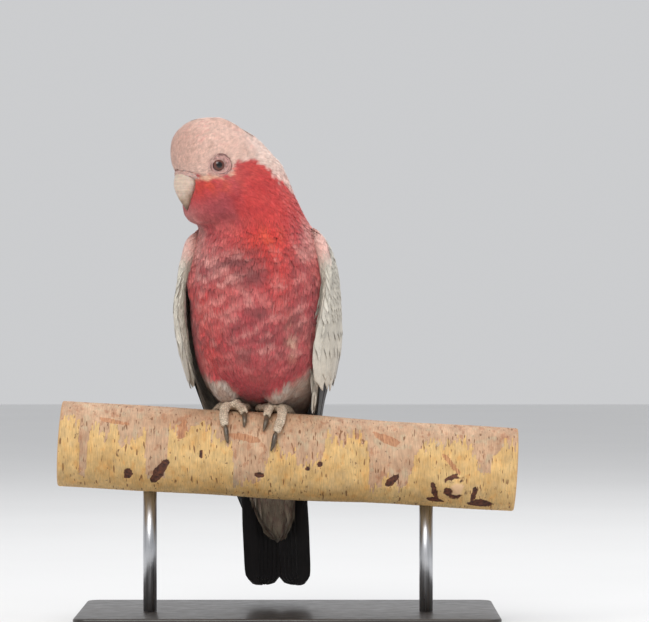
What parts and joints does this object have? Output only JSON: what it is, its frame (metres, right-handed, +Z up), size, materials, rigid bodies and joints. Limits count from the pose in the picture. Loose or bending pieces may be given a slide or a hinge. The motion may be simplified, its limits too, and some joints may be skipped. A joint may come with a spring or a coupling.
{
  "type": "galah",
  "caption": "Still life-size galah on a cut length of birch, head turned to its right, held by two rods on a flat display base.",
  "frame": {"origin": "middle of the stand base's underside", "axes": "+Z up; the bird faces -Y, turned a little towards -X, with its tail towards +Y; the perch lies along X"},
  "size_m": [0.3067, 0.166, 0.34],
  "materials": {
    "rose": "soft matte feathers, rose pink with dark ripples and a brighter neck",
    "crown": "soft matte feathers, pale peach pink",
    "grey": "smooth matte feathers, warm pale grey with lighter edges",
    "dark": "stiff satin flight feathers, near black",
    "taupe": "soft matte down, grey brown",
    "horn": "pale satin horn with fine growth lines",
    "eye": "wet gloss, dark red brown iris and black pupil",
    "scaly": "dry grey skin in small granular scales",
    "claw": "dark brown satin horn, paler at the root",
    "bark": "papery birch bark, peeling yellow tan over pinkish beige, dark lenticels and scars",
    "lacquer": "dark stained close grained wood under satin lacquer",
    "steel": "fine brushed satin"
  },
  "bodies": {
    "root": {"back": "grey", "beak_lower": "horn", "beak_upper": "horn", "claw_left_inner_back": "claw", "claw_left_inner_front": "claw", "claw_left_outer_back": "claw", "claw_left_outer_front": "claw", "claw_right_inner_back": "claw", "claw_right_inner_front": "claw", "claw_right_outer_back": "claw", "claw_right_outer_front": "claw", "crest": "crown", "eye_left": "eye", "eye_right": "eye", "foot_left": "scaly", "foot_right": "scaly", "head": "crown", "neck": "rose", "perch": "bark", "stand_base": "lacquer", "stand_rod_left": "steel", "stand_rod_right": "steel", "tail": "dark", "thigh_left": "taupe", "thigh_right": "taupe", "trunk": "rose", "undertail_coverts": "taupe", "uppertail_coverts": "grey", "wing_left": "grey", "wing_right": "grey", "wing_tip_left": "dark", "wing_tip_right": "dark"}
  },
  "joints": []
}
